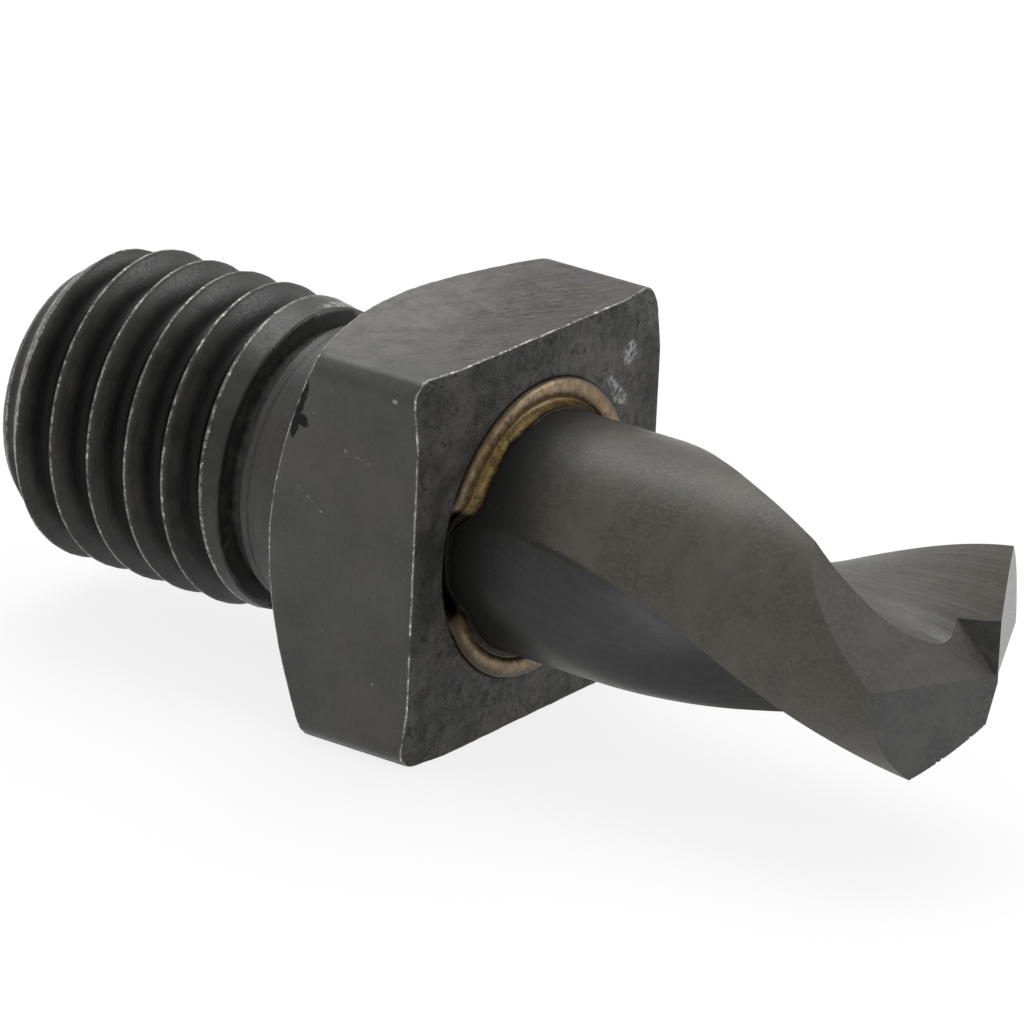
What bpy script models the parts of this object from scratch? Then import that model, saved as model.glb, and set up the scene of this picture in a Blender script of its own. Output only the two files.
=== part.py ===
"""Stub drill bit: a short two-flute drill brazed into a threaded shank with a square collar.

Every piece is modelled about its own Z axis, which is the drill's axis. Zero on that axis is the
collar's front face and +Z points to the tip. An empty lays the axis along world +X at the height
that puts the collar's lower flat on the ground. Lengths are in metres.
"""

import math

import bmesh
import bpy
from mathutils import Matrix, Vector

# Driving dimensions of the thread and the turned shank
inch = 0.0254
threadsPerInch = 28
threadPitch = inch / threadsPerInch
threadRadius = 0.00315
threadRootRadius = 0.00263
shankEnd = -0.01095
endRadius = 0.00252
endChamferRun = 0.00085
threadLeadShare = 0.39
threadTurns = 6.5
fadeTurns = 0.5
rootFlatShare = 0.25
crestClearanceShare = 0.05
taperStart = -0.00630
taperRadius = 0.00300
reliefStart = -0.00530
reliefEnd = -0.00497
reliefRadius = 0.00260
reliefBackRun = 0.00006
reliefFrontRun = 0.00005
neckRadius = 0.00275
neckFillet = 0.00015
threadFlankAngle = math.radians(30)

# Driving dimensions of the square collar
squareWidth = 0.00775
barLength = 0.03000
collarLength = 0.00350
cornerRadius = 0.00528
rearFaceRadius = 0.00370
seatRadius = 0.00322
seatRise = 0.00005
frontFaceRadius = 0.00460
rearChamferAngle = math.radians(31)
frontChamferAngle = math.radians(12)

# Driving dimensions of the socket and the brazed mouth
socketClearance = 0.00005
socketDepth = 0.00330
socketConeAngle = math.radians(31)
mouthRadius = 0.00294
mouthDepth = 0.00100
mouthEdge = 0.00007
brazeClearance = 0.00004
brazeCrown = 0.00010
brazeTrough = 0.00006
brazeSink = 0.00062
crownShare = 0.68
brazeDipMargin = math.radians(5)
brazeDipEase = math.radians(7)

# Driving dimensions of the drill
drillRadius = 0.00240
shankTail = 0.00320
lipCornerHeight = 0.00966
flutedLength = 0.01120
twistLead = 0.03200
runoutTop = 0.00520
runoutLength = 0.00622
chiselHalfWidth = 0.00004
heelDrop = 0.00005
grindSpan = 0.00600
sectionStep = 0.00036

# Shares of the drill's radius and angles that shape the flute and the point
webShare = 0.25
heelLeanAngle = math.radians(20)
heelFootShare = -0.15
fluteFilletShare = 0.38
fluteReachShare = 1.3
leastFluteShare = 0.04
runoutShare = 0.756
runoutAngle = math.radians(62)
runoutPower = 1.5
tipLipAngle = math.radians(306.7)
pointHalfAngle = math.radians(67.5)
reliefAngle = math.radians(15)
heelReliefAngle = math.radians(53.5)
heelSideAngle = math.radians(22.3)
splitAngle = math.radians(43)

# Fineness of round shapes
roundSteps = 72
arcSteps = 4
fluteSteps = 16
landSteps = 10
searchSteps = 240
weldDistance = 0.0000001
smoothAngle = math.radians(28)


def arcPoints(centre, radius, startAngle, endAngle, steps):
    """Points of an arc in an outline's radius and height plane, both ends included."""
    points = []
    for index in range(steps + 1):
        angle = startAngle + (endAngle - startAngle) * index / steps
        points.append((centre[0] + radius * math.cos(angle), centre[1] + radius * math.sin(angle)))
    return points


def clearScene():
    for item in list(bpy.data.objects):
        bpy.data.objects.remove(item, do_unlink=True)


def newCollection(name):
    group = bpy.data.collections.new(name)
    bpy.context.scene.collection.children.link(group)
    return group


def makeMaterial(name, colour, roughness, metallic):
    material = bpy.data.materials.new(name)
    material.use_nodes = True
    shader = material.node_tree.nodes["Principled BSDF"]
    shader.inputs["Base Color"].default_value = (*colour, 1)
    shader.inputs["Roughness"].default_value = roughness
    shader.inputs["Metallic"].default_value = metallic
    return material


def addObject(name, mesh, group, axisFrame):
    item = bpy.data.objects.new(name, mesh)
    group.objects.link(item)
    item.parent = axisFrame
    return item


def addOutline(name, outline, closed, group, axisFrame):
    """An outline of radius and height pairs, drawn at +X."""
    links = [(index, index + 1) for index in range(len(outline) - 1)]
    if closed:
        links.append((len(outline) - 1, 0))
    mesh = bpy.data.meshes.new(name)
    mesh.from_pydata([(radius, 0, height) for radius, height in outline], links, [])
    return addObject(name, mesh, group, axisFrame)


def addScrew(item, turns, rise):
    """Turns an outline about the axis, rising by a distance in each turn."""
    screw = item.modifiers.new("turn", "SCREW")
    screw.axis = "Z"
    screw.angle = math.tau * turns
    screw.steps = round(roundSteps * turns)
    screw.render_steps = screw.steps
    screw.screw_offset = rise * turns
    screw.use_merge_vertices = True
    screw.merge_threshold = weldDistance


def weldMesh(mesh):
    """Joins the points that two cuts leave side by side on one edge."""
    shape = bmesh.new()
    shape.from_mesh(mesh)
    bmesh.ops.remove_doubles(shape, verts=shape.verts, dist=weldDistance)
    bmesh.ops.dissolve_degenerate(shape, edges=shape.edges, dist=weldDistance)
    shape.to_mesh(mesh)
    shape.free()


def bakeMesh(item):
    """Replaces an object's mesh and modifiers by its finished mesh."""
    bpy.context.view_layer.update()
    finished = item.evaluated_get(bpy.context.evaluated_depsgraph_get())
    mesh = bpy.data.meshes.new_from_object(finished)
    item.modifiers.clear()
    item.data = mesh
    weldMesh(mesh)
    return mesh


def addCut(item, cutter, operation):
    cut = item.modifiers.new(cutter.name, "BOOLEAN")
    cut.operation = operation
    cut.solver = "EXACT"
    cut.object = cutter
    cutter.hide_render = True
    cutter.display_type = "WIRE"


def shadeRound(mesh):
    mesh.shade_smooth()
    mesh.set_sharp_from_angle(angle=smoothAngle)


def bodyOutline():
    """The turned shank and collar with its blind socket, from the socket's point to the rear end."""
    socketRadius = drillRadius + socketClearance
    socketPoint = -socketDepth - socketRadius * math.tan(socketConeAngle)
    rearFace = -collarLength
    rearLand = rearFace + (cornerRadius - rearFaceRadius) * math.tan(rearChamferAngle)
    frontLand = -(cornerRadius - frontFaceRadius) * math.tan(frontChamferAngle)
    outline = [(0, socketPoint), (socketRadius, -socketDepth), (socketRadius, -mouthDepth)]
    outline.append((mouthRadius, -mouthDepth))
    outline += arcPoints((mouthRadius + mouthEdge, -mouthEdge), mouthEdge, math.pi, math.pi / 2, arcSteps)
    outline += [(frontFaceRadius, 0), (cornerRadius, frontLand), (cornerRadius, rearLand)]
    # The ring outside seatRadius stands proud of the face round the neck, and seats on the holder
    neckFace = rearFace + seatRise
    outline += [(rearFaceRadius, rearFace), (seatRadius, rearFace), (seatRadius, neckFace)]
    filletCentre = (neckRadius + neckFillet, neckFace - neckFillet)
    outline += arcPoints(filletCentre, neckFillet, math.pi / 2, math.pi, arcSteps)
    outline += [(neckRadius, reliefEnd), (reliefRadius, reliefEnd - reliefFrontRun)]
    outline += [(reliefRadius, reliefStart + reliefBackRun), (taperRadius, reliefStart)]
    outline += [(threadRadius, taperStart), (threadRadius, shankEnd + endChamferRun)]
    outline += [(endRadius, shankEnd), (0, shankEnd)]
    return outline


def makeSquareBar(group, axisFrame):
    """The bar whose four flats the collar is milled to."""
    mesh = bpy.data.meshes.new("squareBar")
    size = Matrix.Diagonal((squareWidth, squareWidth, barLength, 1))
    shape = bmesh.new()
    bmesh.ops.create_cube(shape, size=1, matrix=size)
    shape.to_mesh(mesh)
    shape.free()
    return addObject("squareBar", mesh, group, axisFrame)


def makeThreadGroove(group, axisFrame):
    """The 60 degree thread groove, swept along its right-hand helix until it fades out of the shank."""
    threadStart = shankEnd - threadPitch * threadLeadShare
    grooveTop = threadRadius + threadPitch * crestClearanceShare
    rootHalf = threadPitch * rootFlatShare / 2
    topHalf = rootHalf + (grooveTop - threadRootRadius) * math.tan(threadFlankAngle)
    outline = [(grooveTop, threadStart + topHalf), (grooveTop, threadStart - topHalf)]
    outline += [(threadRootRadius, threadStart - rootHalf), (threadRootRadius, threadStart + rootHalf)]
    groove = addOutline("threadGroove", outline, True, group, axisFrame)
    addScrew(groove, threadTurns, threadPitch)
    mesh = bakeMesh(groove)
    for vertex in mesh.vertices:
        turnsDone = vertex.index // len(outline) / roundSteps
        fade = max(turnsDone - threadTurns + fadeTurns, 0) / fadeTurns
        outward = Vector((vertex.co.x, vertex.co.y, 0)).normalized()
        vertex.co += outward * (grooveTop - threadRootRadius) * fade * fade
    shape = bmesh.new()
    shape.from_mesh(mesh)
    openEdges = [edge for edge in shape.edges if edge.is_boundary]
    bmesh.ops.holes_fill(shape, edges=openEdges)
    bmesh.ops.recalc_face_normals(shape, faces=shape.faces)
    shape.to_mesh(mesh)
    shape.free()
    return groove


def makeShankBody(parts, cutters, axisFrame):
    body = addOutline("shank_body", bodyOutline(), False, parts, axisFrame)
    addScrew(body, 1, 0)
    addCut(body, makeSquareBar(cutters, axisFrame), "INTERSECT")
    addCut(body, makeThreadGroove(cutters, axisFrame), "DIFFERENCE")
    shadeRound(bakeMesh(body))
    return body


def flutePoint(place, shift):
    """A point of the flute in shares of the radius, along the lip and ahead of it.

    The flute is a straight face under the lip, a round root and a straight wall that leans back to
    the heel. place runs from 0 at the lip's side to 1 at the heel's, and shift moves the whole
    flute out from the axis.
    """
    openAngle = math.pi / 2 + heelLeanAngle
    tangent = fluteFilletShare / math.tan(openAngle / 2)
    arcAngle = math.pi - openAngle
    faceLength = fluteReachShare - heelFootShare - tangent
    arcLength = fluteFilletShare * arcAngle
    wallLength = fluteReachShare - tangent
    run = place * (faceLength + arcLength + wallLength)
    rootCentre = Vector((heelFootShare + tangent, webShare + fluteFilletShare))
    if run < faceLength:
        point = Vector((fluteReachShare - run, webShare))
    elif run < faceLength + arcLength:
        angle = -math.pi / 2 - (run - faceLength) / fluteFilletShare
        point = rootCentre + fluteFilletShare * Vector((math.cos(angle), math.sin(angle)))
    else:
        along = tangent + run - faceLength - arcLength
        wall = Vector((-math.sin(heelLeanAngle), math.cos(heelLeanAngle)))
        point = Vector((heelFootShare, webShare)) + along * wall
    return point + shift * Vector((math.cos(runoutAngle), math.sin(runoutAngle)))


def fluteShift(height):
    """How far the flute has moved out of the drill at this height, in shares of the radius."""
    back = max(runoutTop - height, 0) / runoutLength
    return runoutShare * back ** runoutPower


def fluteSection(height):
    """One flute's points from the lip corner to the heel, none of them outside the drill."""
    shift = fluteShift(height)
    places = [index / searchSteps for index in range(searchSteps + 1)]
    inside = [place for place in places if flutePoint(place, shift).length < 1]
    if not inside:
        inside = [min(places, key=lambda place: flutePoint(place, shift).length)]
    middle = (inside[0] + inside[-1]) / 2
    half = max((inside[-1] - inside[0] + places[1]) / 2, leastFluteShare)
    points = []
    for index in range(fluteSteps + 1):
        point = flutePoint(middle + half * (2 * index / fluteSteps - 1), shift)
        if point.length > 1 or index in (0, fluteSteps):
            point = point.normalized()
        points.append(point)
    return points


def drillSection(height):
    """The drill's outline at one height: two flutes and the two lands between them."""
    flute = fluteSection(height)
    heelAngle = math.atan2(flute[-1].y, flute[-1].x)
    nextLipAngle = math.atan2(flute[0].y, flute[0].x) + math.pi
    half = list(flute)
    for index in range(1, landSteps):
        angle = heelAngle + (nextLipAngle - heelAngle) * index / landSteps
        half.append(Vector((math.cos(angle), math.sin(angle))))
    twistHeight = max(height, runoutTop - runoutLength)
    turn = tipLipAngle - math.tau * (lipCornerHeight - twistHeight) / twistLead
    section = []
    for halfTurn in (0, math.pi):
        spin = Matrix.Rotation(turn + halfTurn, 2)
        section += [(spin @ point) * drillRadius for point in half]
    return section


def makeFlutedRod(parts, axisFrame):
    """The drill before its point is ground: a loft through its twisting outlines."""
    firstHeight = runoutTop - runoutLength
    count = math.ceil((flutedLength - firstHeight) / sectionStep)
    heights = [-shankTail]
    heights += [firstHeight + (flutedLength - firstHeight) * index / count for index in range(count + 1)]
    shape = bmesh.new()
    rings = []
    for height in heights:
        rings.append([shape.verts.new((point.x, point.y, height)) for point in drillSection(height)])
    for lower, upper in zip(rings, rings[1:]):
        for index in range(len(lower)):
            after = (index + 1) % len(lower)
            shape.faces.new((lower[index], lower[after], upper[after], upper[index]))
    shape.faces.new(list(reversed(rings[0])))
    shape.faces.new(rings[-1])
    mesh = bpy.data.meshes.new("drill")
    shape.to_mesh(mesh)
    shape.free()
    return addObject("drill", mesh, parts, axisFrame)


def makeBlock(name, corner, edges, group, axisFrame):
    """A slanted block that starts at a corner and spans three edges."""
    columns = Matrix((edges[0], edges[1], edges[2])).transposed().to_4x4()
    centre = corner + (edges[0] + edges[1] + edges[2]) / 2
    mesh = bpy.data.meshes.new(name)
    shape = bmesh.new()
    bmesh.ops.create_cube(shape, size=1, matrix=Matrix.Translation(centre) @ columns)
    bmesh.ops.recalc_face_normals(shape, faces=shape.faces)
    shape.to_mesh(mesh)
    shape.free()
    return addObject(name, mesh, group, axisFrame)


def makePointGrinds(side, group, axisFrame):
    """The blocks that grind one side of the 135 degree split point.

    One takes the flank behind the lip. The other takes the steep heel behind it, and its upright
    face is the split edge that carries the other lip in to the chisel.
    """
    turn = tipLipAngle + side * math.pi
    alongLip = Vector((math.cos(turn), math.sin(turn), 0))
    ahead = Vector((-math.sin(turn), math.cos(turn), 0))
    up = Vector((0, 0, 1))
    webHalf = webShare * drillRadius
    lipReach = math.sqrt(drillRadius ** 2 - webHalf ** 2)
    lipTop = lipCornerHeight + lipReach / math.tan(pointHalfAngle)

    chiselTop = lipTop - webHalf * math.tan(reliefAngle)

    lipEdge = alongLip - up / math.tan(pointHalfAngle)
    flankEdge = -ahead - up * math.tan(reliefAngle)
    flankOrigin = ahead * webHalf + up * lipTop
    flankCorner = flankOrigin - (lipEdge + flankEdge) * grindSpan
    flankEdges = (lipEdge * grindSpan * 2, flankEdge * grindSpan * 2, up * grindSpan)
    flank = makeBlock("flankGrind" + str(side), flankCorner, flankEdges, group, axisFrame)

    heelTilt = alongLip * math.tan(heelSideAngle) + ahead * math.tan(heelReliefAngle)
    splitLine = -alongLip * math.cos(splitAngle) - ahead * math.sin(splitAngle)
    away = alongLip * math.sin(splitAngle) - ahead * math.cos(splitAngle)
    splitEdge = splitLine + up * splitLine.dot(heelTilt)
    heelEdge = away + up * away.dot(heelTilt)
    heelOrigin = away * chiselHalfWidth + up * (chiselTop - heelDrop)
    heelCorner = heelOrigin - splitEdge * grindSpan
    heelEdges = (splitEdge * grindSpan * 2, heelEdge * grindSpan, up * grindSpan * 2)
    heel = makeBlock("heelGrind" + str(side), heelCorner, heelEdges, group, axisFrame)
    return flank, heel


def makeDrill(parts, cutters, axisFrame):
    drill = makeFlutedRod(parts, axisFrame)
    for side in (0, 1):
        for block in makePointGrinds(side, cutters, axisFrame):
            addCut(drill, block, "DIFFERENCE")
    shadeRound(bakeMesh(drill))
    return drill


def ringOutline():
    """The filler in the mouth: a rounded bead that dips to a trough and climbs the drill a little."""
    inner = drillRadius + socketClearance
    outer = mouthRadius - brazeClearance
    floor = -mouthDepth + brazeClearance
    crownWidth = (outer - inner) * crownShare
    outline = [(outer, floor), (inner, floor), (inner, brazeTrough)]
    for index in range(2 * arcSteps + 1):
        angle = math.pi * index / (2 * arcSteps)
        radius = outer - crownWidth / 2 - crownWidth / 2 * math.cos(angle)
        height = (brazeCrown + brazeTrough) * math.sin(angle) - brazeTrough
        outline.append((radius, height))
    return outline


def brazeDip(angle):
    """1 where a flute runs under the filler, 0 beside the lands, with a soft change between."""
    mouthFlute = fluteSection(0)
    spin = tipLipAngle - math.tau * lipCornerHeight / twistLead
    lipSide = math.atan2(mouthFlute[0].y, mouthFlute[0].x) + spin
    heelSide = math.atan2(mouthFlute[-1].y, mouthFlute[-1].x) + spin
    middle = (lipSide + heelSide) / 2
    half = (heelSide - lipSide) / 2 + brazeDipMargin
    away = abs((angle - middle + math.pi / 2) % math.pi - math.pi / 2)
    share = min(max((half + brazeDipEase - away) / (2 * brazeDipEase), 0), 1)
    return share * share * (3 - 2 * share)


def makeBrazeRing(parts, axisFrame):
    ring = addOutline("braze_ring", ringOutline(), True, parts, axisFrame)
    addScrew(ring, 1, 0)
    mesh = bakeMesh(ring)
    floor = -mouthDepth + brazeClearance
    for vertex in mesh.vertices:
        if vertex.co.z > floor / 2:
            vertex.co.z -= brazeSink * brazeDip(math.atan2(vertex.co.y, vertex.co.x))
    shadeRound(mesh)
    return ring


clearScene()
partsGroup = newCollection("stub_drill_bit")
cuttersGroup = newCollection("cutters")
axisEmpty = bpy.data.objects.new("drillAxis", None)
partsGroup.objects.link(axisEmpty)
axisEmpty.location = (collarLength / 2, 0, squareWidth / 2)
axisEmpty.rotation_euler = (0, math.pi / 2, 0)

shankBody = makeShankBody(partsGroup, cuttersGroup, axisEmpty)
shankBody.data.materials.append(makeMaterial("black_oxide_steel", (0.055, 0.054, 0.052), 0.42, 0.85))
drillPiece = makeDrill(partsGroup, cuttersGroup, axisEmpty)
drillPiece.data.materials.append(makeMaterial("dark_drill_steel", (0.062, 0.062, 0.052), 0.45, 0.85))
brazeRing = makeBrazeRing(partsGroup, axisEmpty)
brazeRing.data.materials.append(makeMaterial("bronze_filler", (0.34, 0.22, 0.11), 0.35, 0.9))
bpy.context.view_layer.update()
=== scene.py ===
# Stub drill bit: a short drill brazed into a threaded shank with a square collar
from math import acos, atan2, ceil, cos, pi, radians, sin, sqrt, tan, tau

import bmesh
import bpy
import numpy as np
from mathutils import Matrix, Vector, noise


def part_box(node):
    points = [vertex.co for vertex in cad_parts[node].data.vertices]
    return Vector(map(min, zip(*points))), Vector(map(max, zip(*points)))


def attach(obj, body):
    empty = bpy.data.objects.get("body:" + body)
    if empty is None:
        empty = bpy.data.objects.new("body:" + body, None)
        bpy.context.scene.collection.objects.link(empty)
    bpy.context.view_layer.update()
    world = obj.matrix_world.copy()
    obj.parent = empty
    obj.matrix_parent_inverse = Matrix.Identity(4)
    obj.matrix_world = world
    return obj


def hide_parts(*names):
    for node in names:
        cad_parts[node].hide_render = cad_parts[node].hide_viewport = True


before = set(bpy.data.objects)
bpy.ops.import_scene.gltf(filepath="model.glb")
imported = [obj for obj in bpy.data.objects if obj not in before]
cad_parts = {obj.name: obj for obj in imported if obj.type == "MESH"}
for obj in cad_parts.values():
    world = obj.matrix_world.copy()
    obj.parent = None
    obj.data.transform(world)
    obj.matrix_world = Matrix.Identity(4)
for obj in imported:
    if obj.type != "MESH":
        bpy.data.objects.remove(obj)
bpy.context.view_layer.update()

# without a fixed seed noise_vector takes one from the clock, and the chips change with each run
noise.seed_set(1)

# The pieces are built in millimetres about the drill's axis: zero is the collar's front face
# and +z points to the tip. place lays that axis along world +X.
mm = 0.001
bodyLow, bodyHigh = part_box("shank_body")
place = Matrix.Translation((bodyHigh.x, 0, (bodyLow.z + bodyHigh.z) / 2))
place = place @ Matrix.Rotation(pi / 2, 4, "Y") @ Matrix.Scale(mm, 4)
endFace = (bodyLow.x - bodyHigh.x) / mm
squareHalf = (bodyHigh.z - bodyLow.z) / mm / 2


# Mesh helpers

def smoothMin(first, second, width):
    share = np.clip(0.5 + 0.5 * (second - first) / width, 0, 1)
    return second * (1 - share) + first * share - width * share * (1 - share)


def smoothMax(first, second, width):
    return -smoothMin(-first, -second, width)


def easeStep(low, high, value):
    share = np.clip((value - low) / (high - low), 0, 1)
    return share * share * (3 - 2 * share)


# smooth noise from about -1 to 1 at each point
def noiseAt(points, scale, seed):
    shift = Vector((seed * 7.3, seed * 3.1, seed * 5.7))
    flat = points.reshape(-1, 3) * scale
    values = [noise.noise(Vector(point) + shift) for point in flat]
    return np.array(values).reshape(points.shape[:-1])


def angleOf(point):
    return atan2(point.y, point.x)


def pointAt(angle):
    return Vector((cos(angle), sin(angle)))


# angles come in columns, radii and heights in rows by columns
def ringPoints(angles, radii, heights):
    return np.stack((radii * np.cos(angles), radii * np.sin(angles), heights + 0 * radii), axis=-1)


# quads between rows, where the last column meets the first one lift rows higher
def skinFaces(rows, columns, lift=0):
    faces = []
    for row in range(rows - 1):
        for column in range(columns):
            after = (column + 1) % columns
            beside = row + (lift if after == 0 else 0)
            if beside + 1 < rows:
                faces.append((row * columns + column, beside * columns + after,
                              (beside + 1) * columns + after, (row + 1) * columns + column))
    return faces


def addObject(name, data):
    item = bpy.data.objects.new(name, data)
    bpy.context.scene.collection.objects.link(item)
    return item


def meshFrom(shape, name, material):
    mesh = bpy.data.meshes.new(name)
    shape.to_mesh(mesh)
    shape.free()
    mesh.materials.append(material)
    return mesh


# a number at each point, which a material can read
def addMark(mesh, name, values):
    attribute = mesh.attributes.new(name, "FLOAT", "POINT")
    attribute.data.foreach_set("value", np.ravel(values).astype(np.float32))


def meshPiece(name, points, faces, marks, materials):
    mesh = bpy.data.meshes.new(name)
    mesh.from_pydata(points.reshape(-1, 3).tolist(), [], faces)
    for mark, values in marks.items():
        addMark(mesh, mark, values)
    mesh.transform(place)
    mesh.update()
    mesh.shade_smooth()
    for material in materials:
        mesh.materials.append(material)
    return addObject(name, mesh)


# faces whose every point has the mark take that material
def paintMarked(piece, mark, index):
    values = np.zeros(len(piece.data.vertices))
    piece.data.attributes[mark].data.foreach_get("value", values)
    for polygon in piece.data.polygons:
        if min(values[vertex] for vertex in polygon.vertices) > 0.5:
            polygon.material_index = index


# Material helpers

# a material's node tree, with short ways to add its nodes
class Paint:
    def __init__(self, name, roughness=0.4, specular=0.5):
        self.material = bpy.data.materials.new(name)
        self.material.use_nodes = True
        self.tree = self.material.node_tree
        self.shader = self.tree.nodes["Principled BSDF"]
        self.shader.inputs["Roughness"].default_value = roughness
        self.shader.inputs["Specular IOR Level"].default_value = specular
        self.millimetres = self.stretched((1 / mm, 1 / mm, 1 / mm), self.add("TexCoord").outputs["Object"])

    # a new node; its inputs are values or other nodes' outputs, found by name or number
    def add(self, kind, inputs=None, **settings):
        node = self.tree.nodes.new("ShaderNode" + kind)
        for key, value in settings.items():
            setattr(node, key, value)
        for key, value in (inputs or {}).items():
            self.feed(node.inputs[key], value)
        return node

    def feed(self, socket, value):
        if isinstance(value, bpy.types.NodeSocket):
            self.tree.links.new(value, socket)
        else:
            socket.default_value = value

    def stretched(self, scale, vector=None):
        inputs = {0: vector or self.millimetres, 1: scale}
        return self.add("VectorMath", inputs, operation="MULTIPLY").outputs[0]

    # millimetres measured from a centre along turned axes, in shares of a size
    def framed(self, centre, size, turn):
        inputs = {"Vector": self.millimetres, "Location": centre, "Rotation": turn, "Scale": size}
        return self.add("Mapping", inputs, vector_type="TEXTURE").outputs[0]

    # millimetres along one world axis
    def along(self, axis):
        return self.add("SeparateXYZ", {0: self.millimetres}).outputs[axis]

    def noise(self, scale, detail=3.0, rough=0.55, bend=0.0, vector=None):
        inputs = {"Vector": vector or self.millimetres, "Scale": scale}
        inputs |= {"Detail": detail, "Roughness": rough, "Distortion": bend}
        return self.add("TexNoise", inputs).outputs["Fac"]

    def mark(self, name):
        return self.add("Attribute", attribute_name=name).outputs["Fac"]

    # a soft change from bottom to top while the value goes from low to high
    def step(self, value, low, high, bottom=0.0, top=1.0):
        inputs = {"Value": value, "From Min": low, "From Max": high, "To Min": bottom, "To Max": top}
        return self.add("MapRange", inputs, interpolation_type="SMOOTHSTEP").outputs[0]

    def joined(self, operation, first, *others):
        for other in others:
            first = self.add("Math", {0: first, 1: other}, operation=operation).outputs[0]
        return first

    def times(self, *values):
        return self.joined("MULTIPLY", *values)

    def plus(self, *values):
        return self.joined("ADD", *values)

    def most(self, *values):
        return self.joined("MAXIMUM", *values)

    # thin lines where a noise crosses its middle, like cracks
    def cracks(self, noise, width):
        offset = self.add("Math", {0: self.plus(noise, -0.5)}, operation="ABSOLUTE")
        return self.step(offset.outputs[0], 0.0, width, 1.0, 0.0)

    def blend(self, share, first, second):
        node = self.add("Mix", {"Factor": share}, data_type="RGBA")
        sockets = [socket for socket in node.inputs if socket.type == "RGBA"]
        for socket, colour in zip(sockets, (first, second)):
            self.feed(socket, colour if isinstance(colour, bpy.types.NodeSocket) else (*colour, 1))
        return [socket for socket in node.outputs if socket.type == "RGBA"][0]

    # another colour laid over the paint's own, as much as the product of the shares says
    def cover(self, other, *shares):
        self.colour = self.blend(self.times(*shares), self.colour, other)

    def bump(self, height, distance):
        return self.add("Bump", {"Height": height, "Distance": distance * mm}).outputs[0]

    # 1 inside an uneven oval patch and 0 outside, with the last soft share of its size as the
    # change; its centre and size are in world millimetres
    def patch(self, centre, size, turn, ragged, raggedScale, soft=0.25):
        reach = self.add("VectorMath", {0: self.framed(centre, size, turn)}, operation="LENGTH")
        edge = self.plus(reach.outputs["Value"], self.times(self.noise(raggedScale), ragged))
        return self.step(edge, 1 + ragged / 2 - soft, 1 + ragged / 2, 1.0, 0.0)

    def finish(self, rough, metal, normal):
        inputs = {"Base Color": self.colour, "Roughness": rough, "Metallic": metal, "Normal": normal}
        for name, value in inputs.items():
            self.feed(self.shader.inputs[name], value)
        return self.material


# Threaded shank

threadSizes = dict(
    pitch=25.4 / 28,
    crestRadius=3.15,
    rootRadius=2.63,
    rootFlat=0.25,
    flankAngle=radians(30),
    leadShare=0.39,
    turns=6.5,
    fadeTurns=0.5,
    fadeRise=0.05,
    noGroove=99.0,
    endRadius=2.52,
    chamferRun=0.85,
    taperStart=-6.30,
    taperRadius=3.00,
    reliefStart=-5.30,
    reliefEnd=-4.97,
    reliefRadius=2.60,
    rootRounding=0.20,
    crestRounding=0.035,
    wearOn=(-0.015, 0.05),
    wearOff=(0.12, 0.20),
    burr=0.007,
    burrShift=0.45,
    columns=240,
    rowsPerTurn=20,
    crowding=1.6,
    foldTurns=2.0,
    foldMargin=1.06,
    foldMost=0.98,
)


# the turned shank's radius before its thread is cut
def shankRadius(height):
    s = threadSizes
    heights = [endFace, endFace + s["chamferRun"], s["taperStart"], s["reliefStart"]]
    radii = [s["endRadius"], s["crestRadius"], s["crestRadius"], s["taperRadius"]]
    return np.interp(height, heights, radii)


# radius of the threaded shank, and how far the groove's own surface lies outside the turned one
def threadRadius(angle, height):
    s = threadSizes
    start = endFace - s["pitch"] * s["leadShare"]
    turnsDone = (height - start) / s["pitch"]
    whole = np.round(turnsDone - angle / tau)
    offset = (turnsDone - angle / tau - whole) * s["pitch"]
    along = whole + angle / tau
    fade = np.clip((along - s["turns"] + s["fadeTurns"]) / s["fadeTurns"], 0, 1)
    depth = s["rootRadius"] + (s["crestRadius"] - s["rootRadius"] + s["fadeRise"]) * fade ** 2
    flank = depth + (np.abs(offset) - s["rootFlat"] * s["pitch"] / 2) / tan(s["flankAngle"])
    groove = smoothMax(depth, flank, s["rootRounding"])
    groove = np.where((along < 0) | (along > s["turns"]), s["noGroove"], groove)
    outside = shankRadius(height)
    return smoothMin(groove, outside, s["crestRounding"]), groove - outside


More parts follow.
